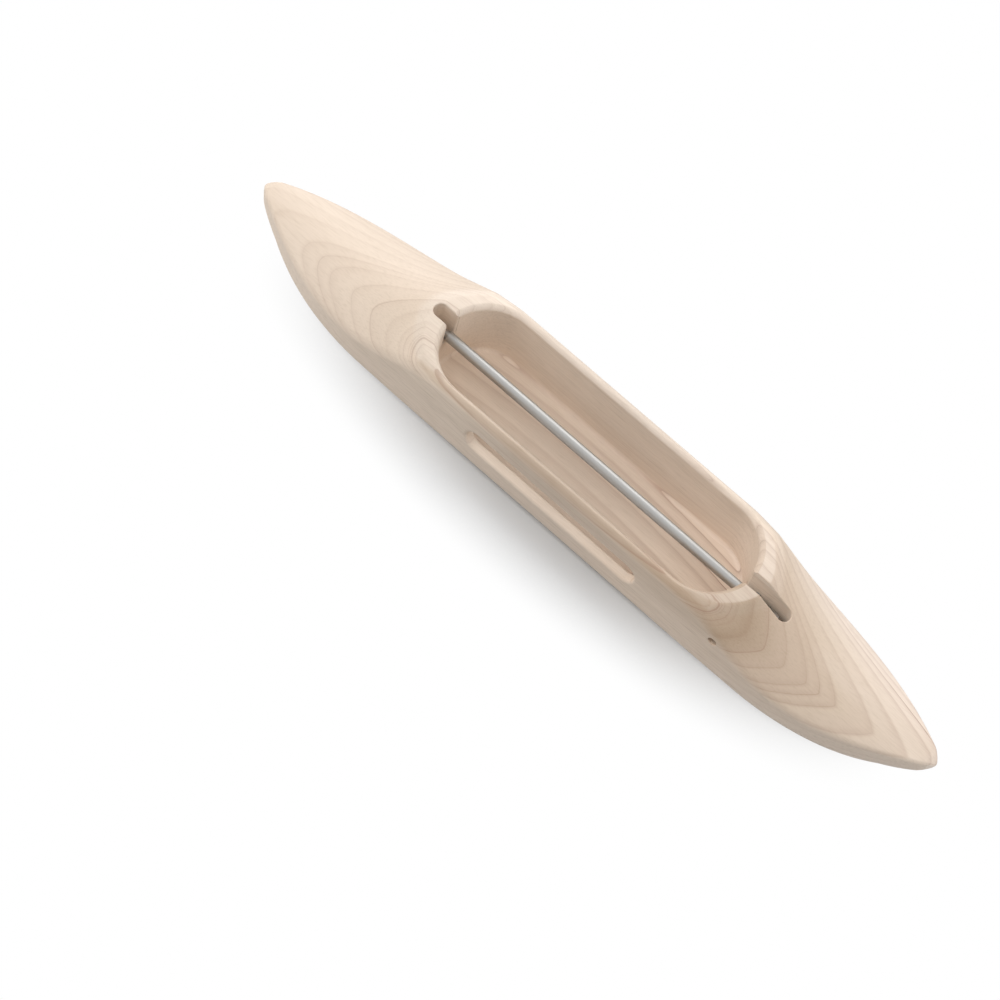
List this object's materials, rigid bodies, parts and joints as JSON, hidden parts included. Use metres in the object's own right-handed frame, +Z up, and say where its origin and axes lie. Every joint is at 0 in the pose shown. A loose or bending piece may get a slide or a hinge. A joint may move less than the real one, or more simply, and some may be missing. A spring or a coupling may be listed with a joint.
{
  "type": "boat shuttle",
  "caption": "Boat-shaped wooden weaving shuttle with a long rounded well, a yarn slot in one side and a hinged steel bobbin shaft.",
  "frame": {"origin": "middle of the flat bottom, halfway between the tips", "axes": "+X along the length towards the end where the shaft is hinged, +Y away from the wall with the yarn slot, +Z up out of the well"},
  "size_m": [0.28, 0.0402, 0.029],
  "materials": {
    "maple": "sanded smooth with a thin satin oil finish",
    "steel": "satin",
    "spring_steel": "satin"
  },
  "bodies": {
    "hull": {"body": "maple", "pivot_pin": "steel", "tail_spring": "spring_steel", "spring_brad": "spring_steel"},
    "shaft": {"shaft": "steel"}
  },
  "joints": [
    {"name": "shaft_tilt", "type": "hinge", "parent": "hull", "child": "shaft", "pos_m": [0.06575, 0, 0.019], "axis": [0, 1, 0], "range_deg": [0, 40], "deforming": ["tail_spring"]}
  ]
}
